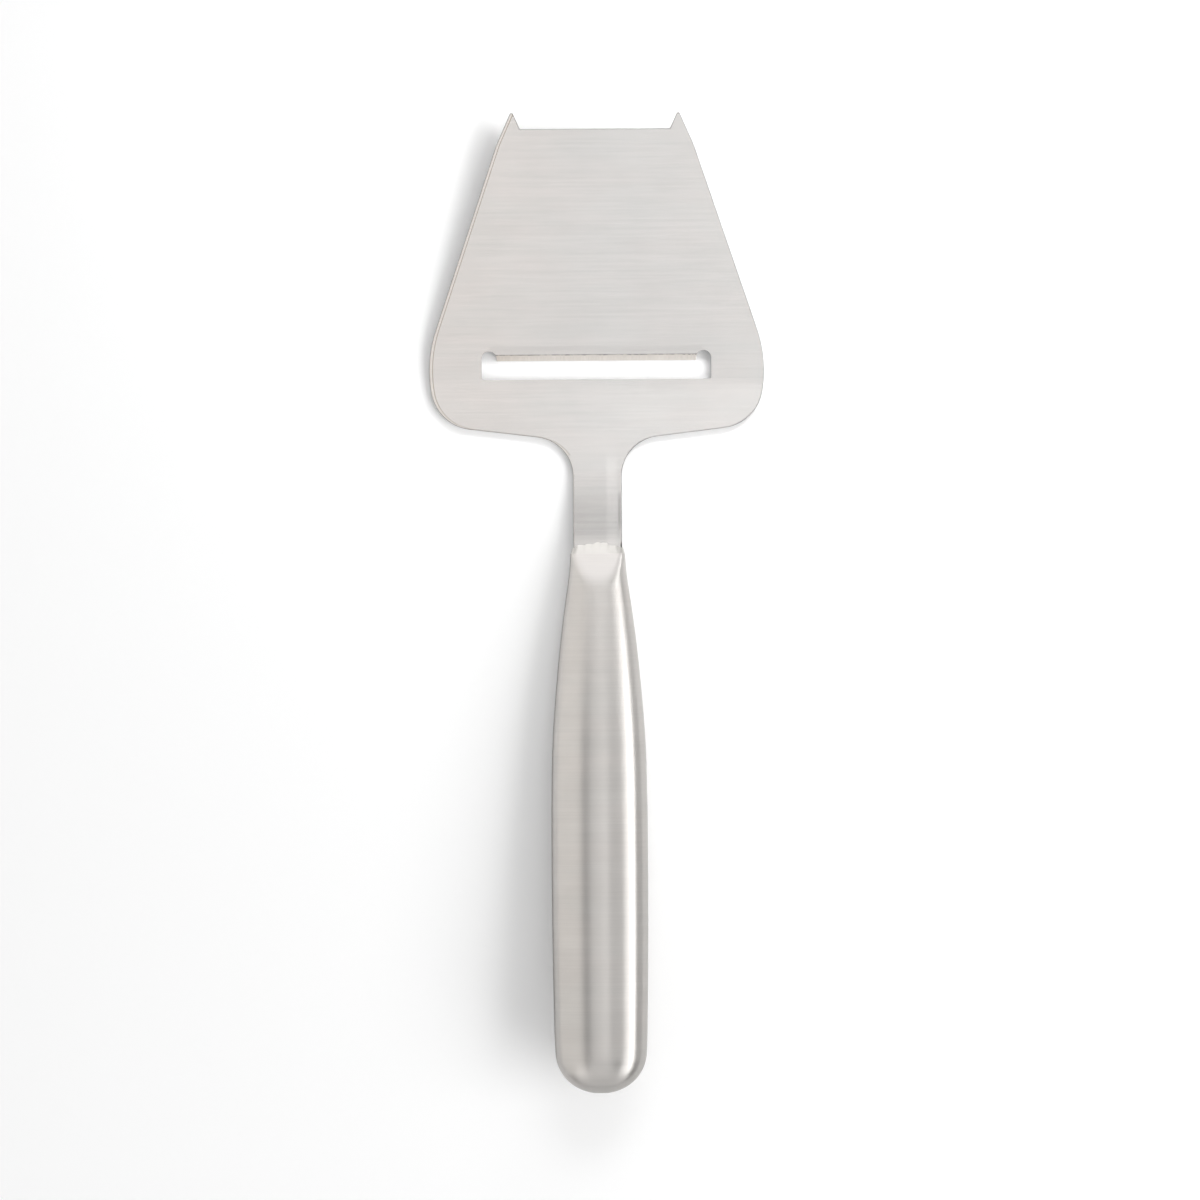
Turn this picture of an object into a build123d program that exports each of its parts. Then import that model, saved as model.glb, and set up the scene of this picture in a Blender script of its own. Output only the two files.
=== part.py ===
from build123d import *
import os
from math import asin, atan2, cos, degrees, hypot, radians, sin, tan

# A plane-type cheese slicer in stainless steel: one stamped blade whose tang runs into a hollow handle
# welded from two pressed half shells. It lies on a table as it rests, top side up.
# +Y points at the prongs, +X to the right and +Z up. The origin is on the table, under the middle.

os.makedirs("parts", exist_ok=True)

# Blade sheet
sheet_thickness = 1.5
edge_round = 0.3  # polished rounding all round the rim
overrun = 20.0  # how far a cut or a blank passes what it trims
upright_tolerance = 1e-6  # largest Z of an upright wall's normal

# Blade outline, seen from above
plate_length = 59.25  # prong tips to the widest place
blade_width = 77.2  # at the widest place
prong_height = 3.7  # prong tips ahead of the front edge
prong_spacing = 38.4  # tip to tip
prong_half_angle = 24.0  # degrees
prong_round = 0.4  # tips and feet of the prongs
prong_flank_length = 7.4  # outer flanks, along the slicer, to where the plate's sides begin
flank_blend_radius = 12.0  # between an outer flank and the side
side_sweep_radius = 30.0  # each side runs into this sweep, which turns round the widest place
side_sweep_past = 9.6  # degrees that the sweep turns on past the widest place
shoulder_radius = 10.15
back_slope = 6.9  # degrees, the shoulders' back edges
neck_root_radius = 9.2
neck_width = 11.2
tang_step = 1.2  # tang narrower than the neck on each side
tang_length = 32.0  # inside the handle
tang_end_round = 2.5

# Slot and cutting lip
slot_past_widest = 2.05  # the slot's rear edge behind the widest place
slot_width = 53.0
slot_gap = 4.4  # rear edge to cutting edge
slot_corner_round = 0.6
notch_width = 3.5  # round-topped relief at each end of the lip
notch_depth = 2.2  # beyond the cutting edge
lip_length = 1.7  # cutting edge to the bend
bevel_length = 1.4  # ground face on top of the lip
cutting_edge_thickness = 0.15
lip_clearance = 0.05  # cutting edge above the table

# Side view of the blade
plate_rise = 5.0  # degrees, the plate climbs towards the prongs
plate_bend_setback = 1.5  # plate bend behind the slot's rear edge
plate_bend_radius = 40.0
sole_length = 22.3  # plate bend to neck bend
neck_bend_radius = 80.0
neck_climb = 10.6  # degrees, from the sole up to the handle's axis
tang_bend_lead = 4.3  # tang bend ahead of the mouth
tang_bend_radius = 24.0

# Handle
handle_length = 124.1  # along its axis
handle_width = 22.2
handle_thickness = 12.0  # where it is widest
handle_climb = 4.8  # degrees, the handle's axis climbs towards its end
end_depth = 10.1  # length of the round end
end_fullness = 2.1  # exponent of the end's rounding, 2 is an ellipse
mouth_margin = 0.7  # mouth wider than the neck on each side
mouth_thickness = 7.2
rest_clearance = 0.05  # handle above the table where it comes lowest, just behind the nose
shell_wall = 0.9
tang_clearance = 0.05
shoulder_clearance = 0.1  # blade shoulders ahead of the handle's mouth
seam_width = 0.5
facet_angle = 13.0  # degrees, nose facets to the handle's axis
facet_blend_radius = 1.0
nose_weld_length = 1.8
nose_weld_edge = 0.15  # thickness of the weld's front edge over the sheet
nose_weld_side = 0.3  # weld beside the neck at its front edge

# Handle stations: place along the straight part, and how far the section has swollen there
station_shares = (0, 0.105, 0.195, 0.287, 0.377, 0.498, 0.679, 0.861, 0.935, 1)
swell_shares = (0, 0.29, 0.555, 0.765, 0.915, 0.987, 1, 0.96, 0.93, 0.885)
end_turns = (14, 28, 42, 55, 67, 77, 84)  # degrees round the end at which it has a section

# The handle's stations along its axis: place, width and thickness
half_sheet = sheet_thickness / 2
mouth_width = neck_width + 2 * mouth_margin
body_length = handle_length - end_depth
stations = []
for place_share, swell_share in zip(station_shares, swell_shares):
    width = mouth_width + (handle_width - mouth_width) * swell_share
    thickness = mouth_thickness + (handle_thickness - mouth_thickness) * swell_share
    stations.append((body_length * place_share, width, thickness))

# Nose facets: how far off the axis they start, and how far back they reach
facet_slope = tan(radians(facet_angle))
wall_upright = shell_wall / cos(radians(facet_angle))
hollow_facet_start = half_sheet + tang_clearance
facet_start = hollow_facet_start + wall_upright
mouth_growth = (stations[1][-1] - mouth_thickness) / 2 / stations[1][0]
facet_length = (mouth_thickness / 2 - facet_start) / (facet_slope - mouth_growth)

# The handle's lie: it comes down to the table where the lower facet ends, or at a station behind that
axis_run, axis_climb = cos(radians(handle_climb)), sin(radians(handle_climb))
axis_slope = axis_climb / axis_run
depths = [thickness / 2 / axis_run - place * axis_climb for place, width, thickness in stations[1:]]
facet_end_depth = (facet_start + facet_length * facet_slope) / axis_run - facet_length * axis_climb
mouth_axis_height = rest_clearance + max(depths + [facet_end_depth])
end_thickness = stations[-1][-1]
end_reach = hypot(end_depth * axis_run, end_thickness / 2 * axis_climb)

# Places along the slicer, measured from its middle
tang_bend_height = mouth_axis_height - tang_bend_lead * axis_slope
neck_run = (tang_bend_height - half_sheet) / tan(radians(neck_climb))
plate_bend_lead = sole_length + neck_run + tang_bend_lead
blade_length = plate_length + slot_past_widest + plate_bend_setback + plate_bend_lead
tip_y = (blade_length + body_length * axis_run + end_reach) / 2
front_y = tip_y - prong_height
widest_y = tip_y - plate_length
slot_rear_y = widest_y - slot_past_widest
plate_bend_y = slot_rear_y - plate_bend_setback
mouth_y = tip_y - blade_length
neck_end_y = mouth_y + shoulder_clearance

# Blade outline: prong corners, and the side as the tangent to its sweep
prong_taper = tan(radians(prong_half_angle))
prong_point_y = tip_y + prong_round * (1 / sin(radians(prong_half_angle)) - 1)
prong_foot_x = prong_spacing / 2 - (prong_point_y - front_y) * prong_taper
plate_front_y = tip_y - prong_flank_length
plate_front_x = prong_spacing / 2 + (prong_point_y - plate_front_y) * prong_taper
sweep_center_x = blade_width / 2 - side_sweep_radius
side_drop = plate_front_y - widest_y
side_spread = sweep_center_x - plate_front_x
side_turn = asin(side_sweep_radius / hypot(side_spread, side_drop))
side_angle = degrees(side_turn + atan2(side_spread, side_drop))
sweep_x = sweep_center_x + side_sweep_radius * cos(radians(side_angle))
sweep_y = widest_y + side_sweep_radius * sin(radians(side_angle))
root_x = neck_width / 2 + neck_root_radius * (1 - sin(radians(back_slope)))
tang_half_width = neck_width / 2 - tang_step

# Slot and lip
cutting_edge_y = slot_rear_y + slot_gap
notch_top_y = cutting_edge_y + notch_depth
lip_bend_y = cutting_edge_y + lip_length
notch_radius = notch_width / 2
notch_x = slot_width / 2 - notch_radius
notch_center_y = notch_top_y - notch_radius
sheet_upright = sheet_thickness / cos(radians(plate_rise))

# The handle's own frame starts in its mouth: local Z runs down the axis, local Y is the handle's own up
mouth_point = (0, mouth_y, mouth_axis_height)
mouth_plane = Plane(origin=mouth_point, x_dir=(1, 0, 0), z_dir=(0, -axis_run, axis_climb))
parting_plane = Plane(origin=mouth_point, x_dir=(1, 0, 0), z_dir=(0, axis_climb, axis_run))
handle_side_plane = Plane(origin=mouth_point, x_dir=(0, -axis_run, axis_climb), z_dir=(-1, 0, 0))


def plate_underside(y):
    """Height of the plate's underside above the table."""
    return (y - plate_bend_y) * tan(radians(plate_rise))


def lip_underside(y):
    """Height of the lip's underside, which runs straight from the bend to the cutting edge."""
    share = (y - cutting_edge_y) / lip_length
    return lip_clearance + (plate_underside(lip_bend_y) - lip_clearance) * share


def handle_sections(inset):
    """Place on the axis, half width and half thickness of each section, drawn in by inset."""
    sections = [(place, width / 2 - inset, thickness / 2 - inset) for place, width, thickness in stations]
    end_half_width, end_half_thickness = sections[-1][1:]
    last_along = sin(radians(end_turns[-1])) ** (2 / end_fullness)
    for turn in end_turns:
        along = sin(radians(turn)) ** (2 / end_fullness) / last_along
        across = cos(radians(turn)) ** (2 / end_fullness)
        place = body_length + (end_depth - inset) * along
        sections.append((place, end_half_width * across, end_half_thickness * across))
    return sections


def handle_solid(inset, start, blend_radius):
    """The handle's body, drawn in by inset: a loft through its sections, cut by the two nose facets."""
    with BuildPart() as body:
        for place, half_width, half_thickness in handle_sections(inset):
            with BuildSketch(mouth_plane.offset(place)):
                Ellipse(half_width, half_thickness)
        loft()
        facet_reach = handle_thickness / facet_slope
        with BuildSketch(handle_side_plane):
            with BuildLine():
                Polyline(
                    (-overrun, start - overrun * facet_slope),
                    (facet_reach, start + facet_reach * facet_slope),
                    (-overrun, start + facet_reach * facet_slope),
                    close=True,
                )
            make_face()
            mirror(about=Plane.XZ)
        extrude(amount=handle_width, both=True, mode=Mode.SUBTRACT)
        if blend_radius:
            facets = body.faces().filter_by(GeomType.PLANE).filter_by(mouth_plane, reverse=True)
            fillet(facets.edges().filter_by(GeomType.LINE, reverse=True), blend_radius)
    return body.part


# Blade: a bent ribbon of sheet, trimmed to the outline
tang_reach = tang_length + overrun
with BuildPart() as blade:
    with BuildSketch(Plane.YZ):
        with BuildLine():
            FilletPolyline(
                (tip_y + overrun, half_sheet + plate_underside(tip_y + overrun)),
                (plate_bend_y, half_sheet),
                (plate_bend_y - sole_length, half_sheet),
                (mouth_y + tang_bend_lead, tang_bend_height),
                (mouth_y - tang_reach, mouth_axis_height + tang_reach * axis_slope),
                radius=(plate_bend_radius, neck_bend_radius, tang_bend_radius),
            )
        trace(line_width=sheet_thickness)
    extrude(amount=blade_width, both=True)
    with BuildSketch(Plane.XY.offset(-overrun)) as outline:
        with BuildLine():
            inner_flank = Line((prong_foot_x, front_y), (prong_spacing / 2, prong_point_y))
            outer_flank = Line(inner_flank @ 1, (plate_front_x, plate_front_y))
            side = Line(outer_flank @ 1, (sweep_x, sweep_y))
            side_sweep = JernArc(side @ 1, side % 1, side_sweep_radius, -side_angle - side_sweep_past)
            shoulder_turn = 90 - side_sweep_past - back_slope
            shoulder = JernArc(side_sweep @ 1, side_sweep % 1, shoulder_radius, -shoulder_turn)
            back_length = ((shoulder @ 1).X - root_x) / cos(radians(back_slope))
            back = Line(shoulder @ 1, shoulder @ 1 + shoulder % 1 * back_length)
            root = JernArc(back @ 1, back % 1, neck_root_radius, 90 - back_slope)
            neck_side = Line(root @ 1, (neck_width / 2, neck_end_y))
            tang_shoulder = Line(neck_side @ 1, (tang_half_width, neck_end_y))
            tang_side = Line(tang_shoulder @ 1, (tang_half_width, mouth_y - tang_length))
            mirror(about=Plane.YZ)
            Line(inner_flank @ 0, (-prong_foot_x, front_y))
            Line(tang_side @ 1, (-tang_half_width, mouth_y - tang_length))
        make_face()
        corners = outline.vertices().group_by(Axis.Y)
        fillet(corners[-1] + corners[-2], prong_round)
        for flank_end in ((plate_front_x, plate_front_y), (-plate_front_x, plate_front_y)):
            fillet(outline.vertices().sort_by_distance(flank_end)[0], flank_blend_radius)
        fillet(outline.vertices().group_by(Axis.Y)[0], tang_end_round)
    extrude(amount=overrun + overrun, mode=Mode.INTERSECT)
    walls = blade.faces().filter_by(lambda face: abs(face.normal_at().Z) < upright_tolerance)
    rim = walls.edges().filter_by(Axis.Z, reverse=True)
    fillet(rim.filter_by_position(Axis.Y, neck_end_y - edge_round, tip_y), edge_round)

    # Slot with its relief notches, then the lip turned down into it
    with BuildSketch(Plane.XY.offset(-overrun)):
        with Locations((0, slot_rear_y)):
            lip_blank_depth = lip_bend_y - slot_rear_y
            Rectangle(slot_width - notch_width, lip_blank_depth, align=(Align.CENTER, Align.MIN))
    extrude(amount=overrun + overrun, mode=Mode.SUBTRACT)
    bevel_y = cutting_edge_y + bevel_length
    bevel_top = lip_underside(bevel_y) + sheet_upright
    with BuildSketch(Plane.YZ):
        with BuildLine():
            Polyline(
                (lip_bend_y, plate_underside(lip_bend_y)),
                (lip_bend_y, plate_underside(lip_bend_y) + sheet_upright),
                (bevel_y, bevel_top),
                (cutting_edge_y, lip_clearance + cutting_edge_thickness),
                (cutting_edge_y, lip_clearance),
                close=True,
            )
        make_face()
    extrude(amount=notch_x, both=True)
    with BuildSketch(Plane.XY.offset(-overrun)) as slot_ends:
        with Locations((notch_x, slot_rear_y), (-notch_x, slot_rear_y)):
            Rectangle(notch_width, notch_center_y - slot_rear_y, align=(Align.CENTER, Align.MIN))
        with Locations((notch_x, notch_center_y), (-notch_x, notch_center_y)):
            Circle(notch_radius)
        outer_corners = slot_ends.vertices().group_by(Axis.Y)[0].sort_by(Axis.X)
        fillet([outer_corners[0], outer_corners[-1]], slot_corner_round)
    extrude(amount=overrun + overrun, mode=Mode.SUBTRACT)

blade.part.label = "blade"
export_step(blade.part, "parts/blade.step")

# The handle's outside, its hollow, and the gap that the seam weld fills
handle_outside = handle_solid(0, facet_start, facet_blend_radius)
handle_hollow = handle_solid(shell_wall, hollow_facet_start, 0)

with BuildPart() as handle_upper_shell:
    add(handle_outside)
    add(handle_hollow, mode=Mode.SUBTRACT)
    split(bisect_by=parting_plane.offset(seam_width / 2), keep=Keep.TOP)

handle_upper_shell.part.label = "handle_upper_shell"
export_step(handle_upper_shell.part, "parts/handle_upper_shell.step")

with BuildPart() as handle_lower_shell:
    add(handle_outside)
    add(handle_hollow, mode=Mode.SUBTRACT)
    split(bisect_by=parting_plane.offset(-seam_width / 2), keep=Keep.BOTTOM)

handle_lower_shell.part.label = "handle_lower_shell"
export_step(handle_lower_shell.part, "parts/handle_lower_shell.step")

with BuildPart() as handle_seam_weld:
    add(handle_outside)
    add(handle_hollow, mode=Mode.SUBTRACT)
    split(bisect_by=parting_plane.offset(seam_width / 2), keep=Keep.BOTTOM)
    split(bisect_by=parting_plane.offset(-seam_width / 2), keep=Keep.TOP)

handle_seam_weld.part.label = "handle_seam_weld"
export_step(handle_seam_weld.part, "parts/handle_seam_weld.step")

# Nose weld: a ring that tapers from the mouth's outline to the neck, its top and bottom in the facets
with BuildPart() as nose_weld:
    with BuildSketch(mouth_plane):
        Ellipse(mouth_width / 2, mouth_thickness / 2)
    with BuildSketch(mouth_plane.offset(-nose_weld_length)):
        Ellipse(neck_width / 2 + nose_weld_side, mouth_thickness / 2)
    loft()
    with BuildSketch(handle_side_plane):
        with BuildLine():
            Polyline(
                (0, facet_start),
                (0, mouth_thickness),
                (-nose_weld_length, mouth_thickness),
                (-nose_weld_length, half_sheet + nose_weld_edge),
                close=True,
            )
        make_face()
        mirror(about=Plane.XZ)
    extrude(amount=mouth_width, both=True, mode=Mode.SUBTRACT)
    add(blade.part, mode=Mode.SUBTRACT)

nose_weld.part.label = "nose_weld"
export_step(nose_weld.part, "parts/nose_weld.step")
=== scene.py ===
from math import copysign, cos, pi, radians, sin, tan

import bpy
from bpy.props import FloatProperty, FloatVectorProperty, PointerProperty
from mathutils import Matrix, Vector
from mathutils.bvhtree import BVHTree


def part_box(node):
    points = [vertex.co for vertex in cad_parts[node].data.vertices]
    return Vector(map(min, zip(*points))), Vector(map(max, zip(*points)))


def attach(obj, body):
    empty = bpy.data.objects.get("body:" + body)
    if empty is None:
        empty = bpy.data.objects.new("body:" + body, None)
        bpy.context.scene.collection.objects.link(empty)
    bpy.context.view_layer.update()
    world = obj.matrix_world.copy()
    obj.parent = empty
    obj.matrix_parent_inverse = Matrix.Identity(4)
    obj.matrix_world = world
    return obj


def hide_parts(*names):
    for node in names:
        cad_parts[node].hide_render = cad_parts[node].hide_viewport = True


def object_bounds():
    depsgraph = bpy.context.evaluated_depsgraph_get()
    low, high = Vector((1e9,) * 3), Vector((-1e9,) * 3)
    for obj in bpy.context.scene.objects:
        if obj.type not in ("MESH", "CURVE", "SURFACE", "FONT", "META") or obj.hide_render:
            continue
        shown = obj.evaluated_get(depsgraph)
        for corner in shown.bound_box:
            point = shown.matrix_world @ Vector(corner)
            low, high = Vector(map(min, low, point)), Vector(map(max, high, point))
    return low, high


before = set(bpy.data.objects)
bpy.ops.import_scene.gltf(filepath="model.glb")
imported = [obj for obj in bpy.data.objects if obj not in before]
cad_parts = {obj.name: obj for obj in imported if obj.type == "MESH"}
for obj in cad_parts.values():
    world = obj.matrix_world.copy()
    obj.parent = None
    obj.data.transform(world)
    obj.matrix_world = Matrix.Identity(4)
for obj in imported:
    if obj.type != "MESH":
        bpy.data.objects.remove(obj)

bl_info = {
    "name": "Cheese Slicer",
    "version": (1, 0, 0),
    "blender": (4, 5, 0),
    "location": "3D View > Sidebar > Slicer",
    "description": "Dresses a steel plane slicer and sets it on a white table",
    "category": "Add Mesh",
}

MM = 0.001
BODY = "root"
cad_low, cad_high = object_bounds()
_, blade_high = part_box("blade")
seam_low, seam_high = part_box("handle_seam_weld")

# Drawn handle and weld
TUBE_SIDES = 128
SMOOTH_ANGLE = radians(40)
SAME_PLACE = 0.001 * MM
NOSE_STEP, NOSE_LENGTH = 0.4 * MM, 12 * MM
BODY_STEP = 1.5 * MM
END_STEPS = 22
BEAD_SHARES = (0, 0.2, 0.4, 0.6, 0.8, 0.93, 1)
BEAD_INSIDE = 0.8
# Waves in the weld's front edge: turns over half the mouth's width in radians, phase and share
RIPPLE_WAVES = ((7, 0.6, 1), (19, 2, 0.8), (41, 0, 0.4))

# The Mix node's colour sockets, which share their names with its number sockets
MIX_COLOR_INPUTS, MIX_COLOR_OUTPUT = (6, 7), 2
# Where nearly all values of a noise texture lie
NOISE_LOW, NOISE_HIGH = 0.3, 0.7

# Tints and colours within the finishes; the left tint is a painted warm reflection
LEFT_REFLECTION_TINT = (1.05, 1.025, 1.01)
BROWN_TINT = (0.9, 0.87, 0.84)
# Painted shade for the small pit beside the neck
PIT_SHADE_COLOR = (0.04, 0.035, 0.03)
# Lines inside the plate's left edge, a painted highlight of its rounded rim and a painted dark line of shade:
# where each starts and ends, and its tint
EDGE_HIGHLIGHT_AND_SHADE_LINES = ((0.28 * MM, 0.6 * MM, (1.07, 1.055, 1.02)), (0.68 * MM, 0.9 * MM, (0.72, 0.68, 0.63)))
EDGE_LINE_SOFTNESS = 0.16 * MM
EDGE_PROBES, EDGE_PROBE_INSET = 80, 0.05 * MM

# Stage
TABLE_SIZE = 12
FLOOR_LIFT = 0.11
ROOM_GREY = (0.36, 0.36, 0.36, 1)
WHITE = (1, 1, 1, 1)
SENSOR_WIDTH = 36
PICTURE_MIDDLE = (0.45 * MM, 0.45 * MM)


def length_property(name, description, millimetres):
    """A length that the user can change, given in millimetres."""
    return FloatProperty(name=name, description=description, default=millimetres * MM,
                         subtype="DISTANCE", unit="LENGTH", precision=5)


def angle_property(name, description, degrees):
    """An angle that the user can change, given in degrees."""
    return FloatProperty(name=name, description=description, default=radians(degrees),
                         subtype="ANGLE", unit="ROTATION")


def color_property(name, description, color):
    """A colour that the user can change."""
    return FloatVectorProperty(name=name, description=description, default=color,
                               subtype="COLOR", size=3, min=0, max=1)


class SteelSettings(bpy.types.PropertyGroup):
    blade_color: color_property("Blade steel", "Reflection colour of the blade", (0.608, 0.592, 0.579))
    handle_color: color_property("Handle steel", "Reflection colour of the handle", (0.59, 0.567, 0.545))
    weld_color: color_property("Weld steel", "Reflection colour of the welds", (0.66, 0.635, 0.615))
    facet_color: color_property("Ground facets", "Reflection colour of the nose facets", (0.72, 0.69, 0.67))
    bevel_color: color_property("Ground bevel", "Reflection colour of the lip's bevel", (0.96, 0.91, 0.86))


class BladeSettings(bpy.types.PropertyGroup):
    edge_behind: length_property("Edge behind tips", "Cutting edge behind the prong tips", 56.9)
    bevel_length: length_property("Bevel length", "Ground face on top of the lip", 1.4)
    lip_width: length_property("Lip width", "Cutting edge between the two notches", 49.5)
    neck_width: length_property("Neck width", "Width of the neck", 11.2)
    neck_length: length_property("Neck length", "Straight part of the neck in front of the handle", 22)


class HandleSettings(bpy.types.PropertyGroup):
    climb: angle_property("Climb", "How steeply the handle's axis climbs", 4.8)
    mouth_width: length_property("Mouth width", "Width at the mouth", 12.6)
    mouth_thickness: length_property("Mouth thickness", "Thickness at the mouth", 7.2)
    thickness: length_property("Thickness", "Thickness where the handle is widest", 12)
    end_depth: length_property("End depth", "Length of the round end", 10.1)
    seam_width: length_property("Seam width", "Width of the ground seam weld", 0.5)
    wall: length_property("Wall", "Thickness of the shells", 0.9)
    facet_angle: angle_property("Facet angle", "Nose facet to the axis at its front edge", 16.7)
    facet_radius: length_property("Facet radius", "Radius that the nose facet is hollow ground to", 83)
    facet_softness: length_property("Facet softness", "Rounding between facet and shell", 1)


class WeldSettings(bpy.types.PropertyGroup):
    middle_length: length_property("Length in the middle", "How far the weld reaches onto the neck", 2.5)
    side_length: length_property("Length at the sides", "How far it reaches beside the neck", 1.1)
    ripple: length_property("Ripple", "Waviness of the weld's front edge", 0.16)
    height: length_property("Height", "Front edge above the neck's middle plane", 0.8)
    side: length_property("Side", "Weld beside the neck at its front edge", 0.2)
    pit_length: length_property("Pit length", "Small pit beside the neck, along the slicer", 1.6)
    pit_width: length_property("Pit width", "Small pit beside the neck, across the slicer", 0.6)


class StageSettings(bpy.types.PropertyGroup):
    floor_color: color_property("Floor", "Colour of the table", (0.9, 0.9, 0.9))
    camera_height: length_property("Camera height", "Lens above the table", 2000)
    frame_width: length_property("Picture width", "Stretch of table that the picture takes in", 277)
    camera_turn: angle_property("Camera turn", "Turn of the picture about its middle", -0.4)


def handle_frame():
    """From the handle's own frame, its origin in the mouth and +Y out of it, to the world."""
    handle = bpy.context.scene.slicer_handle
    up = Vector((0, sin(handle.climb), cos(handle.climb)))
    edge = Vector((0, seam_high.y, seam_low.z))
    mouth = edge + Vector((0, -up.y, up.z)) * handle.seam_width / 2
    return Matrix.Translation(mouth) @ Matrix.Rotation(-handle.climb, 4, "X")


def facet_height(place):
    """Height of the nose facets over the handle's axis, at a place behind the mouth."""
    handle, weld = bpy.context.scene.slicer_handle, bpy.context.scene.slicer_weld
    reach = place + weld.middle_length
    return weld.height + reach * tan(handle.facet_angle) + reach * reach / (2 * handle.facet_radius)


def soft_lower(height, limit, softness):
    """The lower of two heights, rounded over where they cross."""
    overlap = max(softness - abs(height - limit), 0) / softness
    return min(height, limit) - overlap * overlap * softness / 4


def handle_sections():
    """Place, half width and half thickness of the handle's sections, measured on the seam weld."""
    handle = bpy.context.scene.slicer_handle
    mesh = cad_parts["handle_seam_weld"].data
    seam = BVHTree.FromPolygons([v.co for v in mesh.vertices], [p.vertices for p in mesh.polygons])
    to_world = handle_frame()
    far = cad_high.y - cad_low.y
    end = seam.ray_cast(to_world @ Vector((0, -far, 0)), to_world.to_3x3() @ Vector((0, 1, 0)))[0]
    length = -(to_world.inverted() @ end).y
    body_end = length - handle.end_depth
    places = [NOSE_STEP * n for n in range(round(NOSE_LENGTH / NOSE_STEP))]
    body_count = round((body_end - NOSE_LENGTH) / BODY_STEP)
    places += [NOSE_LENGTH + (body_end - NOSE_LENGTH) * n / body_count for n in range(body_count)]
    places += [body_end + handle.end_depth * sin(pi / 2 * n / END_STEPS) for n in range(END_STEPS)]
    widest = (seam_high.x - seam_low.x) / 2
    first_probe = 0.01 * MM
    sections = []
    for place in places:
        origin = to_world @ Vector((far, -max(place, first_probe), 0))
        half_width = seam.ray_cast(origin, Vector((-1, 0, 0)))[0].x
        if place <= body_end:
            swell = (half_width - handle.mouth_width / 2) / (widest - handle.mouth_width / 2)
            half_mouth = handle.mouth_thickness / 2
            half_height = half_mouth + (handle.thickness / 2 - half_mouth) * swell
            aspect = half_height / half_width
        sections.append((place, half_width, half_width * aspect))
    sections.append((length, sections[-1][1] / 2, sections[-1][2] / 2))
    return sections


def draw_tube(name, sections):
    """A tube drawn ring by ring towards -Y, through sections of place, half width and half height."""
    place, half_width, half_height = sections[0]
    bpy.ops.object.select_all(action="DESELECT")
    bpy.ops.mesh.primitive_circle_add(vertices=TUBE_SIDES, radius=1, rotation=(pi / 2, 0, 0))
    tube = bpy.context.object
    tube.name = name
    bpy.ops.object.transform_apply(location=False, rotation=True, scale=False)
    bpy.ops.object.mode_set(mode="EDIT")
    bpy.ops.mesh.select_all(action="SELECT")
    bpy.ops.transform.resize(value=(half_width, 1, half_height), center_override=(0, 0, 0))
    bpy.ops.transform.translate(value=(0, -place, 0))
    for next_place, next_width, next_height in sections[1:]:
        step = {"value": (0, place - next_place, 0)}
        bpy.ops.mesh.extrude_region_move(TRANSFORM_OT_translate=step)
        ratio = (next_width / half_width, 1, next_height / half_height)
        bpy.ops.transform.resize(value=ratio, center_override=(0, -next_place, 0))
        place, half_width, half_height = next_place, next_width, next_height
    return tube


def face_out():
    """Turn every face outwards and leave edit mode."""
    bpy.ops.mesh.select_all(action="SELECT")
    bpy.ops.mesh.remove_doubles(threshold=SAME_PLACE)
    bpy.ops.mesh.normals_make_consistent(inside=False)
    bpy.ops.object.mode_set(mode="OBJECT")


def close_tube():
    """Draw the last ring together to a point and turn every face outwards."""
    bpy.ops.mesh.merge(type="CENTER")
    face_out()


def grind_facets(tube):
    """Lower every point above the nose facets into them, on the top and on the underside."""
    handle = bpy.context.scene.slicer_handle
    for vertex in tube.data.vertices:
        limit = facet_height(-vertex.co.y)
        height = soft_lower(abs(vertex.co.z), limit, handle.facet_softness)
        vertex.co.z = copysign(height, vertex.co.z)


def cut_copy(source, name, low=None, high=None):
    """A copy of a piece with its own mesh, kept between two heights."""
    piece = source.copy()
    piece.data = source.data.copy()
    piece.name = name
    bpy.context.collection.objects.link(piece)
    bpy.ops.object.select_all(action="DESELECT")
    piece.select_set(True)
    bpy.context.view_layer.objects.active = piece
    bpy.ops.object.mode_set(mode="EDIT")
    for height, side in ((low, "clear_inner"), (high, "clear_outer")):
        if height is not None:
            bpy.ops.mesh.select_all(action="SELECT")
            bpy.ops.mesh.bisect(plane_co=(0, 0, height), plane_no=(0, 0, 1), **{side: True})
    bpy.ops.object.mode_set(mode="OBJECT")
    return piece


def finish_piece(piece, node, material, wall=None):
    """Give a piece its wall and finish, set it in its place and let it stand for its CAD node."""
    bpy.ops.object.select_all(action="DESELECT")
    piece.select_set(True)
    bpy.context.view_layer.objects.active = piece
    if wall:
        shell = piece.modifiers.new("wall", "SOLIDIFY")
        shell.thickness = wall
        shell.offset = -1
        bpy.ops.object.modifier_apply(modifier=shell.name)
    piece.matrix_world = handle_frame()
    bpy.ops.object.transform_apply(location=True, rotation=True, scale=True)
    bpy.ops.object.shade_smooth_by_angle(angle=SMOOTH_ANGLE)
    piece.data.materials.append(material)
    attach(piece, BODY)
    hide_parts(node)


def new_group(name, inputs, outputs):
    """A shader node group with the named sockets, and the ends to link inside it."""
    group = bpy.data.node_groups.new(name, "ShaderNodeTree")
    for socket_name, socket_type, value in inputs:
        socket = group.interface.new_socket(socket_name, in_out="INPUT", socket_type=socket_type)
        socket.default_value = value
    for socket_name, socket_type in outputs:
        group.interface.new_socket(socket_name, in_out="OUTPUT", socket_type=socket_type)
    return group, group.nodes.new("NodeGroupInput").outputs, group.nodes.new("NodeGroupOutput").inputs


def feed(tree, socket, value):
    """Link a socket to an output, or set it to a number."""
    if isinstance(value, bpy.types.NodeSocket):
        tree.links.new(value, socket)
    else:
        socket.default_value = value


def math_node(tree, operation, *values):
    """A Math node fed with outputs or numbers."""
    node = tree.nodes.new("ShaderNodeMath")
    node.operation = operation
    for socket, value in zip(node.inputs, values):
        feed(tree, socket, value)
    return node.outputs[0]


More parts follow.
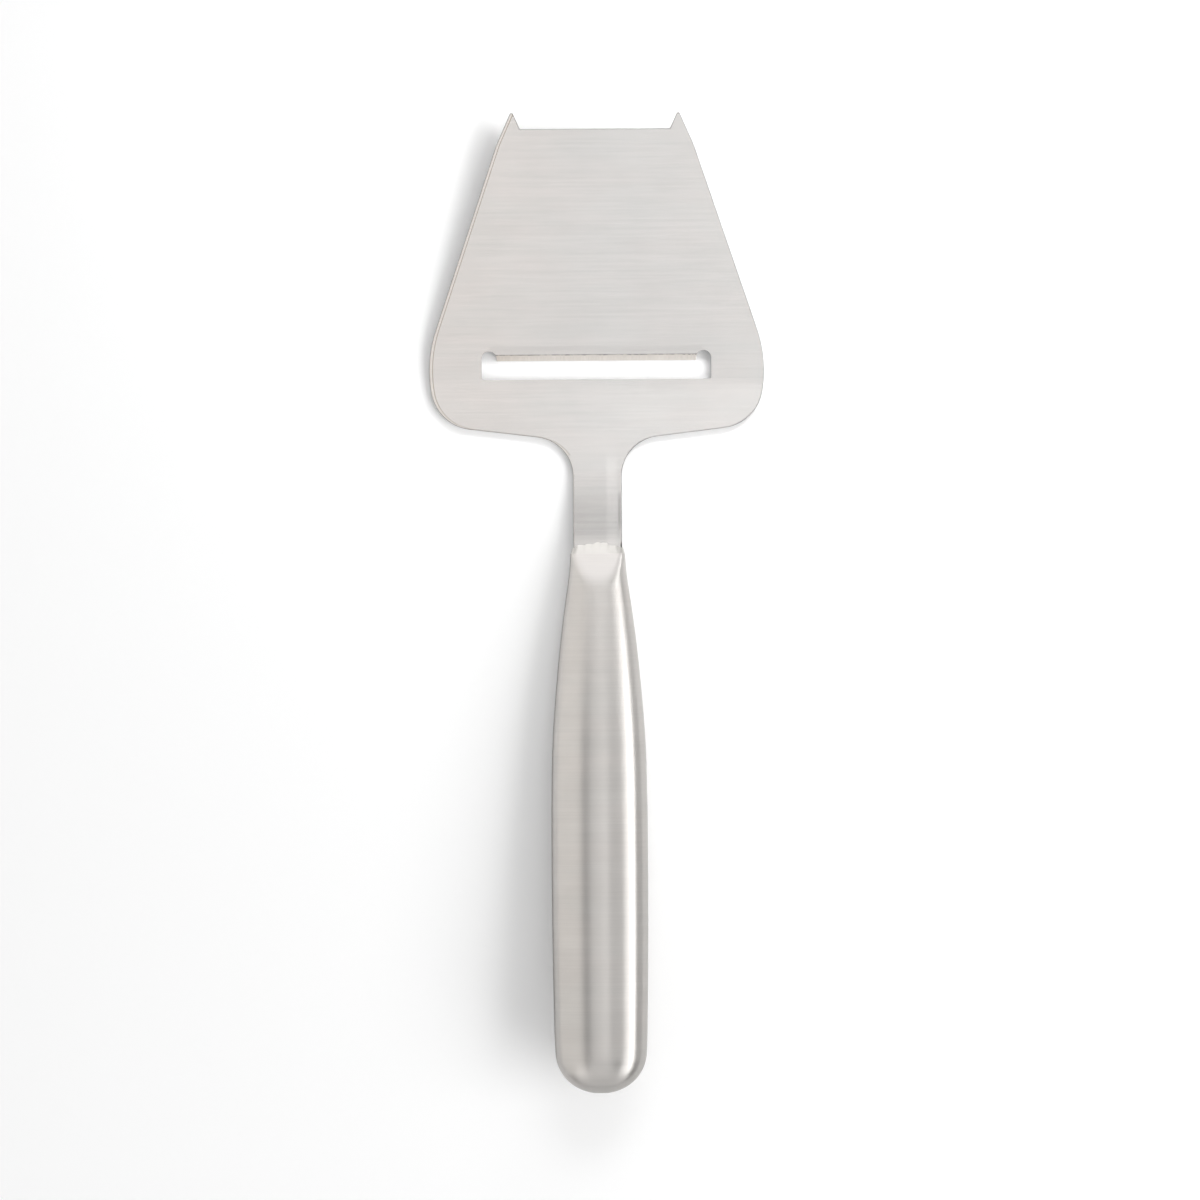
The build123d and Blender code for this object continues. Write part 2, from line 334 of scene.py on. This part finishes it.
def mix_colors(tree, factor, first, second, blend="MIX"):
    """A Mix node for colours, given as outputs or as three numbers."""
    node = tree.nodes.new("ShaderNodeMix")
    node.data_type = "RGBA"
    node.blend_type = blend
    feed(tree, node.inputs["Factor"], factor)
    for index, color in zip(MIX_COLOR_INPUTS, (first, second)):
        is_output = isinstance(color, bpy.types.NodeSocket)
        feed(tree, node.inputs[index], color if is_output else (*color, 1))
    return node.outputs[MIX_COLOR_OUTPUT]


def scaled_color(tree, color, factor):
    """A colour made lighter or darker by a factor."""
    node = tree.nodes.new("ShaderNodeVectorMath")
    node.operation = "SCALE"
    tree.links.new(color, node.inputs[0])
    feed(tree, node.inputs["Scale"], factor)
    return node.outputs[0]


def tinted_color(tree, color, tint):
    """A colour multiplied by a tint of three numbers."""
    node = tree.nodes.new("ShaderNodeVectorMath")
    node.operation = "MULTIPLY"
    tree.links.new(color, node.inputs[0])
    node.inputs[1].default_value = tint
    return node.outputs[0]


def place_group(tree, group, **values):
    """A group set into a tree, with its inputs fed by name; returns its outputs."""
    node = tree.nodes.new("ShaderNodeGroup")
    node.node_tree = group
    for name, value in values.items():
        feed(tree, node.inputs[name], value)
    return node.outputs


def fade(tree, value, start, end, low=0, high=1, path="SMOOTHSTEP"):
    """Runs from low to high while the value goes from start to end, smoothly unless told otherwise."""
    node = tree.nodes.new("ShaderNodeMapRange")
    node.interpolation_type = path
    sockets = ("Value", "From Min", "From Max", "To Min", "To Max")
    for name, number in zip(sockets, (value, start, end, low, high)):
        feed(tree, node.inputs[name], number)
    return node.outputs["Result"]


def band(tree, value, low, high, soft):
    """1 between low and high, fading out over a soft stretch at both ends."""
    rise = fade(tree, value, start=low - soft / 2, end=low + soft / 2)
    drop = fade(tree, value, start=high - soft / 2, end=high + soft / 2, low=1, high=0)
    return math_node(tree, "MULTIPLY", rise, drop)


def noise(tree, coords, grains, detail=2, roughness=0.5):
    """Noise with so many grains to the metre along X, Y and Z, its contrast raised."""
    spread = tree.nodes.new("ShaderNodeMapping")
    spread.inputs["Scale"].default_value = grains
    tree.links.new(coords, spread.inputs["Vector"])
    texture = tree.nodes.new("ShaderNodeTexNoise")
    texture.inputs["Scale"].default_value = 1
    texture.inputs["Detail"].default_value = detail
    texture.inputs["Roughness"].default_value = roughness
    tree.links.new(spread.outputs["Vector"], texture.inputs["Vector"])
    return fade(tree, texture.outputs["Fac"], start=NOISE_LOW, end=NOISE_HIGH)


def object_coords(tree):
    """A place in the object's own coordinates."""
    return tree.nodes.new("ShaderNodeTexCoord").outputs["Object"]


def object_normal(tree):
    """The surface's normal in the object's own coordinates."""
    return tree.nodes.new("ShaderNodeTexCoord").outputs["Normal"]


def split(tree, vector):
    """The X, Y and Z outputs of a vector."""
    node = tree.nodes.new("ShaderNodeSeparateXYZ")
    tree.links.new(vector, node.inputs[0])
    return node.outputs


def own_frame_coords(tree):
    """Coordinates in the handle's own frame."""
    place, turn, _ = handle_frame().decompose()
    node = tree.nodes.new("ShaderNodeMapping")
    node.vector_type = "TEXTURE"
    node.inputs["Location"].default_value = place
    node.inputs["Rotation"].default_value = turn.to_euler()
    tree.links.new(object_coords(tree), node.inputs["Vector"])
    return node.outputs[0]


def brushed_group():
    """Steel brushed across the slicer: hair lines, longer streaks, grain and faint blotches."""
    name = "cross_brushed"
    if name in bpy.data.node_groups:
        return bpy.data.node_groups[name]
    color, number = "NodeSocketColor", "NodeSocketFloat"
    inputs = [("Color", color, (0.7, 0.7, 0.7, 1)), ("Contrast", number, 0.08), ("Blotches", number, 0.05)]
    outputs = [("Color", color), ("Lines", number), ("Grain", number)]
    group, given, result = new_group(name, inputs, outputs)
    coords = object_coords(group)
    hairs = noise(group, coords, grains=(60, 4200, 60), detail=3, roughness=0.6)
    streaks = noise(group, coords, grains=(22, 1500, 22), detail=3, roughness=0.65)
    scratches = noise(group, coords, grains=(30, 900, 30), detail=1)
    blotches = noise(group, coords, grains=(75, 130, 75), detail=3, roughness=0.55)
    grain = noise(group, coords, grains=(1500, 2600, 1500), detail=2, roughness=0.6)
    tints = noise(group, coords, grains=(60, 150, 60), detail=2, roughness=0.5)
    hair_share, streak_share, scratch_share = 0.45, 0.35, 0.2
    lines = math_node(group, "MULTIPLY", hairs, hair_share)
    lines = math_node(group, "MULTIPLY_ADD", streaks, streak_share, lines)
    lines = math_node(group, "MULTIPLY_ADD", scratches, scratch_share, lines)
    change = math_node(group, "MULTIPLY", math_node(group, "SUBTRACT", lines, 0.5), given["Contrast"])
    patch = math_node(group, "MULTIPLY", math_node(group, "SUBTRACT", blotches, 0.5), given["Blotches"])
    tone = math_node(group, "ADD", math_node(group, "ADD", change, patch), 1)
    warm, cool = (1.005, 0.999, 0.997), (0.995, 1.001, 1.001)
    tint = mix_colors(group, tints, warm, cool)
    toned = mix_colors(group, 1, scaled_color(group, given["Color"], tone), tint, "MULTIPLY")
    group.links.new(toned, result["Color"])
    group.links.new(lines, result["Lines"])
    group.links.new(grain, result["Grain"])
    return group


def brushed_steel(tree, color, contrast, blotches):
    """The outputs of brushed steel: its colour, and the heights of its brush lines and of its grain."""
    return place_group(tree, brushed_group(), Color=(*color, 1), Contrast=contrast, Blotches=blotches)


def new_steel(name, anisotropy):
    """A metal whose highlights are stretched along the slicer, across its brush lines."""
    material = bpy.data.materials.new(name)
    material.use_nodes = True
    tree = material.node_tree
    shader = tree.nodes["Principled BSDF"]
    shader.inputs["Metallic"].default_value = 1
    shader.inputs["Anisotropic"].default_value = anisotropy
    lengthwise = tree.nodes.new("ShaderNodeCombineXYZ")
    lengthwise.inputs["Y"].default_value = 1
    tree.links.new(lengthwise.outputs[0], shader.inputs["Tangent"])
    return material, tree, shader


def add_bump(tree, shader, height, distance):
    """Raise a surface by a height from 0 to 1 times a distance."""
    bump = tree.nodes.new("ShaderNodeBump")
    bump.inputs["Strength"].default_value = 1
    bump.inputs["Distance"].default_value = distance
    tree.links.new(height, bump.inputs["Height"])
    tree.links.new(bump.outputs["Normal"], shader.inputs["Normal"])


def half_widths(start, end):
    """Half widths of the CAD blade at even steps along the slicer."""
    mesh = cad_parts["blade"].data
    widths = []
    for probe in range(EDGE_PROBES + 1):
        place = start + (end - start) * probe / EDGE_PROBES
        half = 0
        for edge in mesh.edges:
            first, second = (mesh.vertices[index].co for index in edge.vertices)
            if (first.y - place) * (second.y - place) < 0:
                share = (place - first.y) / (second.y - first.y)
                half = max(half, first.x + (second.x - first.x) * share)
        widths.append(half)
    return widths


def plate_edge(tree, y):
    """Half width of the plate at a place along the slicer, read off the CAD blade."""
    start = seam_high.y + bpy.context.scene.slicer_blade.neck_length
    widths = half_widths(start, blade_high.y - EDGE_PROBE_INSET)
    widest = max(widths)
    node = tree.nodes.new("ShaderNodeFloatCurve")
    curve = node.mapping.curves[0]
    for probe, half in enumerate(widths[1:-1], 1):
        curve.points.new(probe / EDGE_PROBES, half / widest)
    curve.points[0].location = (0, widths[0] / widest)
    curve.points[-1].location = (1, widths[-1] / widest)
    for point in curve.points:
        point.handle_type = "VECTOR"
    node.mapping.update()
    share = math_node(tree, "DIVIDE", math_node(tree, "SUBTRACT", y, start), blade_high.y - start)
    tree.links.new(share, node.inputs["Value"])
    return math_node(tree, "MULTIPLY", node.outputs["Value"], widest)


def facet_mask(tree):
    """1 on the nose facets, fading where they round into the shells."""
    handle, weld = bpy.context.scene.slicer_handle, bpy.context.scene.slicer_weld
    _, y, z = split(tree, own_frame_coords(tree))
    reach = math_node(tree, "SUBTRACT", weld.middle_length, y)
    slope = math_node(tree, "MULTIPLY_ADD", reach, 0.5 / handle.facet_radius, tan(handle.facet_angle))
    height = math_node(tree, "MULTIPLY_ADD", reach, slope, weld.height)
    gap = math_node(tree, "SUBTRACT", height, math_node(tree, "ABSOLUTE", z))
    return fade(tree, gap, start=0.1 * MM, end=0.7 * MM, low=1, high=0)


def ground_facet(tree):
    """Colour of the freshly ground nose facets, on the shells and on the weld between them."""
    facet_color = bpy.context.scene.slicer_steel.facet_color
    return brushed_steel(tree, facet_color, contrast=0.06, blotches=0.06)["Color"]


def pit_shade_mask(tree):
    """1 in the small pit that the nose weld leaves at the right side of the neck, where the pit's shade is
    painted.
    """
    weld, half_neck = bpy.context.scene.slicer_weld, bpy.context.scene.slicer_blade.neck_width / 2
    x, y, _ = split(tree, object_coords(tree))
    pit_share = 0.8
    middle = seam_high.y + weld.middle_length * pit_share
    across = math_node(tree, "DIVIDE", math_node(tree, "SUBTRACT", x, half_neck), weld.pit_width / 2)
    along = math_node(tree, "DIVIDE", math_node(tree, "SUBTRACT", y, middle), weld.pit_length / 2)
    across_squared = math_node(tree, "MULTIPLY", across, across)
    distance_squared = math_node(tree, "MULTIPLY_ADD", along, along, across_squared)
    return fade(tree, distance_squared, start=0.6, end=1.4, low=1, high=0)


def neck_painted_light(tree, x, y):
    """Painted light and shade on the neck: 1, but more ahead of the weld and in a pale band of painted
    reflection, and less in a painted dark line beside it.
    """
    blade = bpy.context.scene.slicer_blade
    width, mouth = blade.neck_width, seam_high.y
    on_neck = band(tree, y, low=mouth, high=mouth + blade.neck_length, soft=6 * MM)
    pale = band(tree, x, low=0.19 * width, high=0.4 * width, soft=1.4 * MM)
    pale = math_node(tree, "MULTIPLY", pale, on_neck)
    on_bend = band(tree, y, low=mouth + 6.5 * MM, high=mouth + 13.5 * MM, soft=3 * MM)
    dark = band(tree, x, low=0.425 * width, high=0.5 * width, soft=0.5 * MM)
    dark = math_node(tree, "MULTIPLY", dark, on_bend)
    ahead_tone, pale_gain, dark_loss = 1.08, 0.1, 0.2
    tone = fade(tree, y, start=mouth + 4 * MM, end=mouth + 7 * MM, low=1, high=ahead_tone)
    tone = math_node(tree, "MULTIPLY_ADD", pale, pale_gain, tone)
    return math_node(tree, "MULTIPLY_ADD", dark, -dark_loss, tone)


def rim_painted_shade(tree, x, y, nx, edge_y):
    """Painted shade on the rounded rim: how dark it is, more so where it faces right, and most round the
    slot.
    """
    slot_half, slot_behind, slot_ahead, soft = 28 * MM, 4 * MM, 5 * MM, 1 * MM
    left_tone, right_tone, slot_loss = 0.62, 0.3, 0.25
    along = band(tree, y, low=edge_y - slot_behind, high=edge_y + slot_ahead, soft=soft)
    at_slot = math_node(tree, "MULTIPLY", along, band(tree, x, low=-slot_half, high=slot_half, soft=soft))
    tone = fade(tree, nx, start=0.1, end=0.5, low=left_tone, high=right_tone)
    return math_node(tree, "MULTIPLY_ADD", at_slot, -slot_loss, tone)


def painted_edge_lines(tree, color, x, y):
    """A colour with a painted highlight inside the plate's left edge, where its rounded rim catches the
    light, and a painted dark line of shade beside that.
    """
    start = seam_high.y + bpy.context.scene.slicer_blade.neck_length
    inward = math_node(tree, "ADD", x, plate_edge(tree, y))
    on_plate = fade(tree, y, start=start + 0.5 * MM, end=start + 1 * MM)
    for low, high, tint in EDGE_HIGHLIGHT_AND_SHADE_LINES:
        line = band(tree, inward, low=low, high=high, soft=EDGE_LINE_SOFTNESS)
        line = math_node(tree, "MULTIPLY", line, on_plate)
        color = mix_colors(tree, line, color, tinted_color(tree, color, tint))
    return color


def sole_and_lip_painted_light(tree, x, y, edge_y):
    """Painted light and shade: 1, but more on the right of the sole behind the slot, and painted shade along
    the lip's bend.
    """
    lip_half = bpy.context.scene.slicer_blade.lip_width / 2
    sole_gain, bend_loss = 0.07, 0.07
    sole = fade(tree, x, start=-24 * MM, end=12 * MM, low=1, high=1 + sole_gain)
    tone = fade(tree, y, start=edge_y - 8 * MM, end=edge_y - 4 * MM, low=sole, high=1)
    bend = band(tree, y, low=edge_y + 2 * MM, high=edge_y + 3.3 * MM, soft=1 * MM)
    bend = math_node(tree, "MULTIPLY", bend, band(tree, x, low=-lip_half, high=lip_half, soft=2 * MM))
    return math_node(tree, "MULTIPLY_ADD", bend, -bend_loss, tone)


def ground_bevel(tree, coords, x, y, edge_y):
    """Colour of the bevel on the lip, with scratches along the slicer, and where the bevel is."""
    steel, blade = bpy.context.scene.slicer_steel, bpy.context.scene.slicer_blade
    ragged_depth, scratch_tone = 0.25 * MM, 0.93
    scratch = noise(tree, coords, grains=(2600, 260, 100), detail=3, roughness=0.6)
    ragged = math_node(tree, "MULTIPLY_ADD", scratch, ragged_depth, y)
    along = band(tree, ragged, low=edge_y - 1 * MM, high=edge_y + blade.bevel_length, soft=0.15 * MM)
    across = band(tree, x, low=-blade.lip_width / 2, high=blade.lip_width / 2, soft=0.1 * MM)
    scratched = tuple(channel * scratch_tone for channel in steel.bevel_color)
    color = mix_colors(tree, scratch, scratched, steel.bevel_color)
    left_end = fade(tree, x, start=-27 * MM, end=-12 * MM, low=1, high=0)
    color = mix_colors(tree, left_end, color, tinted_color(tree, color, BROWN_TINT))
    return color, math_node(tree, "MULTIPLY", along, across)


def blade_steel():
    """Blade: brushed across, with a painted warm reflection on its left, painted shade at its rim, painted
    light and shade on the neck and sole, ground on the lip.
    """
    steel, blade = bpy.context.scene.slicer_steel, bpy.context.scene.slicer_blade
    material, tree, shader = new_steel("blade_steel", anisotropy=0.7)
    coords = object_coords(tree)
    x, y, _ = split(tree, coords)
    nx, _, nz = split(tree, object_normal(tree))
    edge_y = blade_high.y - blade.edge_behind
    color, lines, grain = brushed_steel(tree, steel.blade_color, contrast=0.085, blotches=0.035)
    # Painted warm reflection on the blade's left half
    painted_warm_left = fade(tree, x, start=-34 * MM, end=6 * MM, low=1, high=0)
    color = mix_colors(tree, painted_warm_left, color, tinted_color(tree, color, LEFT_REFLECTION_TINT))
    # Painted reflection and shade on the neck
    color = scaled_color(tree, color, neck_painted_light(tree, x, y))
    # Painted shade on the rounded rim, darkest where it faces right and round the slot
    rim = fade(tree, math_node(tree, "ABSOLUTE", nz), start=0.96, end=0.8)
    color = mix_colors(tree, rim, color, scaled_color(tree, color, rim_painted_shade(tree, x, y, nx, edge_y)))
    # Painted highlight of the rounded left rim and a painted line of shade beside it
    color = painted_edge_lines(tree, color, x, y)
    # Painted reflection on the sole's right and painted shade along the lip's bend
    color = scaled_color(tree, color, sole_and_lip_painted_light(tree, x, y, edge_y))
    bevel, on_bevel = ground_bevel(tree, coords, x, y, edge_y)
    color = mix_colors(tree, on_bevel, color, bevel)
    # Painted shade in the weld's pit beside the neck
    color = mix_colors(tree, pit_shade_mask(tree), color, PIT_SHADE_COLOR)
    tree.links.new(color, shader.inputs["Base Color"])

    least, most, ground_roughness = 0.25, 0.27, 0.5
    brushed = fade(tree, lines, start=0, end=1, low=least, high=most)
    ground = math_node(tree, "MULTIPLY", math_node(tree, "MAXIMUM", rim, on_bevel), ground_roughness)
    tree.links.new(math_node(tree, "MAXIMUM", brushed, ground), shader.inputs["Roughness"])
    grain_share, line_height = 0.3, 0.0002 * MM
    add_bump(tree, shader, math_node(tree, "MULTIPLY_ADD", grain, grain_share, lines), line_height)
    return material


def handle_steel():
    """Handle: satin, darker towards its end, with painted shade along its left side and a painted lighter
    middle near the nose, its nose facets freshly ground.
    """
    steel = bpy.context.scene.slicer_steel
    material, tree, shader = new_steel("handle_steel", anisotropy=0.6)
    _, y, _ = split(tree, own_frame_coords(tree))
    nx, _, _ = split(tree, object_normal(tree))
    length = seam_high.y - seam_low.y
    color, lines, _ = brushed_steel(tree, steel.handle_color, contrast=0.08, blotches=0.05)

    # Darker towards the end, and once more over the last stretch
    far_tone, nose_tone, end_tone, end_stretch = 0.86, 1.04, 0.93, 10 * MM
    whole = fade(tree, y, start=-length, end=0, low=far_tone, high=nose_tone, path="LINEAR")
    last = fade(tree, y, start=-length, end=end_stretch - length, low=end_tone, high=1)
    color = scaled_color(tree, scaled_color(tree, color, whole), last)

    # Painted reflection, lighter near the nose in the middle, and painted shade where it faces left
    painted_light_gain, painted_shade_loss = 0.15, 0.42
    near_nose = fade(tree, y, start=-50 * MM, end=-4 * MM)
    middle = fade(tree, math_node(tree, "ABSOLUTE", nx), start=0.3, end=0.12)
    left = fade(tree, nx, start=-0.85, end=-0.99)
    tone = math_node(tree, "MULTIPLY_ADD", math_node(tree, "MULTIPLY", near_nose, middle), painted_light_gain, 1)
    tone = math_node(tree, "MULTIPLY_ADD", left, -painted_shade_loss, tone)
    facet = facet_mask(tree)
    color = mix_colors(tree, facet, scaled_color(tree, color, tone), ground_facet(tree))
    tree.links.new(color, shader.inputs["Base Color"])

    least, most, nose_gain, facet_roughness = 0.28, 0.32, 0.08, 0.36
    satin = fade(tree, lines, start=0, end=1, low=least, high=most)
    satin = math_node(tree, "MULTIPLY_ADD", near_nose, nose_gain, satin)
    rough = math_node(tree, "MAXIMUM", satin, math_node(tree, "MULTIPLY", facet, facet_roughness))
    tree.links.new(rough, shader.inputs["Roughness"])

    # Fine blasted grain, weaker towards the end and ground away on the facets
    end_share, grain_height = 0.2, 0.014 * MM
    blasted = noise(tree, object_coords(tree), grains=(2600, 3000, 2600), detail=2, roughness=0.6)
    coarse = fade(tree, y, start=-80 * MM, end=-5 * MM, low=end_share, high=1)
    coarse = math_node(tree, "MAXIMUM", math_node(tree, "SUBTRACT", coarse, facet), 0)
    add_bump(tree, shader, math_node(tree, "MULTIPLY", blasted, coarse), grain_height)
    return material


def weld_steel():
    """Welds: uneven, ground with the nose facets where those reach, with painted shade in one small pit
    beside the neck.
    """
    name = "weld_steel"
    if name in bpy.data.materials:
        return bpy.data.materials[name]
    material, tree, shader = new_steel(name, anisotropy=0.6)
    weld_color = bpy.context.scene.slicer_steel.weld_color
    color, lines, _ = brushed_steel(tree, weld_color, contrast=0.16, blotches=0.12)
    ground_tone, least, most, lump_height = 0.93, 0.34, 0.4, 0.008 * MM
    ground = scaled_color(tree, ground_facet(tree), ground_tone)
    color = mix_colors(tree, facet_mask(tree), color, ground)
    # Painted shade in the pit beside the neck
    color = mix_colors(tree, pit_shade_mask(tree), color, PIT_SHADE_COLOR)
    tree.links.new(color, shader.inputs["Base Color"])
    tree.links.new(fade(tree, lines, start=0, end=1, low=least, high=most), shader.inputs["Roughness"])
    add_bump(tree, shader, noise(tree, object_coords(tree), grains=(900, 900, 900), detail=2), lump_height)
    return material


class SLICER_OT_blade(bpy.types.Operator):
    """Give the stamped blade its brushed and ground finish"""

    bl_idname = "slicer.blade"
    bl_label = "Blade finish"

    def execute(self, context):
        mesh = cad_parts["blade"].data
        mesh.materials.clear()
        mesh.materials.append(blade_steel())
        return {"FINISHED"}


class SLICER_OT_handle(bpy.types.Operator):
    """Draw the hollow handle: two pressed half shells and the seam weld between them"""

    bl_idname = "slicer.handle"
    bl_label = "Handle shells and seam weld"

    def execute(self, context):
        handle = context.scene.slicer_handle
        body = draw_tube("handle_body", handle_sections())
        close_tube()
        grind_facets(body)
        half_seam = handle.seam_width / 2
        steel, weld = handle_steel(), weld_steel()
        upper = cut_copy(body, "upper_shell", low=half_seam)
        lower = cut_copy(body, "lower_shell", high=-half_seam)
        seam = cut_copy(body, "seam_weld", low=-half_seam, high=half_seam)
        finish_piece(upper, "handle_upper_shell", steel, handle.wall)
        finish_piece(lower, "handle_lower_shell", steel, handle.wall)
        finish_piece(seam, "handle_seam_weld", weld, handle.wall)
        bpy.data.objects.remove(body)
        return {"FINISHED"}


class SLICER_OT_nose_weld(bpy.types.Operator):
    """Draw the weld between the handle's mouth and the neck, ground with the facets, its front edge uneven"""

    bl_idname = "slicer.nose_weld"
    bl_label = "Nose weld"

    def execute(self, context):
        handle, weld = context.scene.slicer_handle, context.scene.slicer_weld
        blade = context.scene.slicer_blade
        mouth_half, front_half = handle.mouth_width / 2, blade.neck_width / 2 + weld.side
        half_height = handle.mouth_thickness / 2
        sections = []
        for share in BEAD_SHARES:
            half_width = mouth_half + (front_half - mouth_half) * share
            sections.append((-weld.middle_length * share, half_width, half_height))
        front_place, front_width, front_height = sections[-1]
        sections.append((front_place, front_width * BEAD_INSIDE, front_height * BEAD_INSIDE))
        bead = draw_tube("nose_bead", sections)
        face_out()
        grind_facets(bead)
        for vertex in bead.data.vertices[TUBE_SIDES * len(BEAD_SHARES):]:
            vertex.co.z *= BEAD_INSIDE / 2
        for vertex in bead.data.vertices:
            across = vertex.co.x / mouth_half
            reach = weld.middle_length + (weld.side_length - weld.middle_length) * across * across
            waves = (share * sin(turns * across + phase) for turns, phase, share in RIPPLE_WAVES)
            reach += weld.ripple * sum(waves)
            vertex.co.y *= max(reach, 0) / weld.middle_length
        finish_piece(bead, "nose_weld", weld_steel())
        return {"FINISHED"}


# Soft lights: middle in metres, turn about X, Y and Z in degrees, size in metres, how bright each looks.
# The metal ones are only mirrored in the steel, the table ones only light the table and cast shadows.
METAL_PANELS = {
    "overhead_left": {"place": (-0.13, 0.085, 1.3), "turn": (0, 0, 0), "size": (0.36, 0.69), "glow": 0.75},
    "overhead_right": {"place": (0.18, 0.085, 1.3), "turn": (0, 0, 0), "size": (0.26, 0.69), "glow": 1.05},
    "right_upper": {"place": (0.53, 0.06, 1.24), "turn": (0, 22, 0), "size": (0.36, 0.7), "glow": 0.56},
    "highlight_low": {"place": (1.3, -0.2, 0.93), "turn": (0, 54.4, 0), "size": (0.33, 2.3), "glow": 3},
    "highlight_high": {"place": (1.07, -0.2, 1.19), "turn": (0, 42, 0), "size": (0.4, 2.2), "glow": 1.5},
    "right_low": {"place": (1.5, 0, 0.3), "turn": (0, 79, 0), "size": (0.42, 1.6), "glow": 0.36},
    "left_wall": {"place": (-1.296, 0.1, 0.765), "turn": (0, -54.7, 0), "size": (2.0, 3.2), "glow": 0.7,
                  "tint": (1, 0.98, 0.95)},
    "tip_reflector": {"place": (0, 1.19, 1.07), "turn": (-48.2, 0, 0), "size": (1.4, 0.62), "glow": 1.68},
    "end_upper": {"place": (0, -0.55, 1.15), "turn": (25.5, 0, 0), "size": (0.8, 0.5), "glow": 0.6},
    "end_wall": {"place": (0, -1.3, 0.8), "turn": (58, 0, 0), "size": (2.4, 1.5), "glow": 0.54},
}
TABLE_PANELS = {
    "key": {"place": (1.185, -0.53, 0.91), "turn": (0, 55, -24), "size": (0.95, 1.5), "glow": 4.5},
    "left_fill": {"place": (-1.296, 0, 0.765), "turn": (0, -54.7, 0), "size": (2.0, 3.0), "glow": 0.52},
    "front_fill": {"place": (0.2, 1.1, 1.1), "turn": (-45, 0, 0), "size": (0.8, 0.5), "glow": 3.4},
    "front_near": {"place": (0.1, 0.17, 0.12), "turn": (0, 0, 0), "size": (0.12, 0.06), "glow": 11},
    "overhead": {"place": (0, -0.1, 1.3), "turn": (0, 0, 0), "size": (0.7, 0.7), "glow": 1.2},
}


def add_panel(name, place, turn, size, glow, tint=(1, 1, 1)):
    """A soft rectangular light, unseen by the camera itself."""
    bpy.ops.object.light_add(type="AREA", location=place, rotation=[radians(angle) for angle in turn])
    lamp = bpy.context.object
    lamp.name = name
    lamp.data.shape = "RECTANGLE"
    lamp.data.size, lamp.data.size_y = size
    lamp.data.energy = glow * pi * size[0] * size[1]
    lamp.data.color = tint
    lamp.visible_camera = False
    return lamp


def table_white(color):
    """White table: plain diffuse, lifted for the camera so that it meets the white of the picture."""
    material = bpy.data.materials.new("table_white")
    material.use_nodes = True
    tree = material.node_tree
    shader = tree.nodes["Principled BSDF"]
    shader.inputs["Base Color"].default_value = (*color, 1)
    shader.inputs["Roughness"].default_value = 0.9
    shader.inputs["Specular IOR Level"].default_value = 0.1
    shader.inputs["Emission Color"].default_value = WHITE
    path = tree.nodes.new("ShaderNodeLightPath")
    lift = math_node(tree, "MULTIPLY", path.outputs["Is Camera Ray"], FLOOR_LIFT)
    tree.links.new(lift, shader.inputs["Emission Strength"])
    return material


def studio_world():
    """An even grey room that the camera sees as white."""
    world = bpy.data.worlds.new("studio")
    world.use_nodes = True
    tree = world.node_tree
    dim = tree.nodes["Background"]
    dim.inputs["Color"].default_value = ROOM_GREY
    white = tree.nodes.new("ShaderNodeBackground")
    white.inputs["Color"].default_value = WHITE
    path = tree.nodes.new("ShaderNodeLightPath")
    choice = tree.nodes.new("ShaderNodeMixShader")
    tree.links.new(path.outputs["Is Camera Ray"], choice.inputs["Fac"])
    tree.links.new(dim.outputs[0], choice.inputs[1])
    tree.links.new(white.outputs[0], choice.inputs[2])
    tree.links.new(choice.outputs[0], tree.nodes["World Output"].inputs["Surface"])
    return world


class SLICER_OT_stage(bpy.types.Operator):
    """Set the table, the soft lights and the camera above the slicer"""

    bl_idname = "slicer.stage"
    bl_label = "Table, lights and camera"

    def execute(self, context):
        stage = context.scene.slicer_stage
        bpy.ops.object.select_all(action="DESELECT")
        bpy.ops.mesh.primitive_plane_add(size=TABLE_SIZE, location=(0, 0, cad_low.z))
        floor = context.object
        floor.name = "table_top"
        floor.data.materials.append(table_white(stage.floor_color))
        for name, panel in METAL_PANELS.items():
            add_panel(name, **panel).visible_diffuse = False
        for name, panel in TABLE_PANELS.items():
            add_panel(name, **panel).visible_glossy = False
        context.scene.world = studio_world()
        place = (*PICTURE_MIDDLE, stage.camera_height)
        bpy.ops.object.camera_add(location=place, rotation=(0, 0, stage.camera_turn))
        camera = context.object
        camera.name = "camera"
        camera.data.sensor_width = SENSOR_WIDTH
        camera.data.lens = SENSOR_WIDTH * stage.camera_height / stage.frame_width
        context.scene.camera = camera
        context.scene.view_settings.view_transform = "Standard"
        return {"FINISHED"}


class SLICER_PT_panel(bpy.types.Panel):
    bl_label = "Cheese slicer"
    bl_idname = "SLICER_PT_panel"
    bl_space_type = "VIEW_3D"
    bl_region_type = "UI"
    bl_category = "Slicer"

    def draw(self, context):
        layout = self.layout
        for settings_name in SETTINGS:
            settings = getattr(context.scene, settings_name)
            for name in settings.bl_rna.properties.keys():
                if name not in ("rna_type", "name"):
                    layout.prop(settings, name)
        for operator in OPERATORS:
            layout.operator(operator.bl_idname)


SETTINGS = {
    "slicer_steel": SteelSettings,
    "slicer_blade": BladeSettings,
    "slicer_handle": HandleSettings,
    "slicer_weld": WeldSettings,
    "slicer_stage": StageSettings,
}
OPERATORS = (SLICER_OT_blade, SLICER_OT_handle, SLICER_OT_nose_weld, SLICER_OT_stage)
CLASSES = (*SETTINGS.values(), *OPERATORS, SLICER_PT_panel)


def register():
    for cls in CLASSES:
        bpy.utils.register_class(cls)
    for name, settings in SETTINGS.items():
        setattr(bpy.types.Scene, name, PointerProperty(type=settings))


def unregister():
    for name in SETTINGS:
        delattr(bpy.types.Scene, name)
    for cls in reversed(CLASSES):
        bpy.utils.unregister_class(cls)


def main():
    register()
    bpy.ops.slicer.blade()
    bpy.ops.slicer.handle()
    bpy.ops.slicer.nose_weld()
    bpy.ops.slicer.stage()


if __name__ == "__main__":
    main()
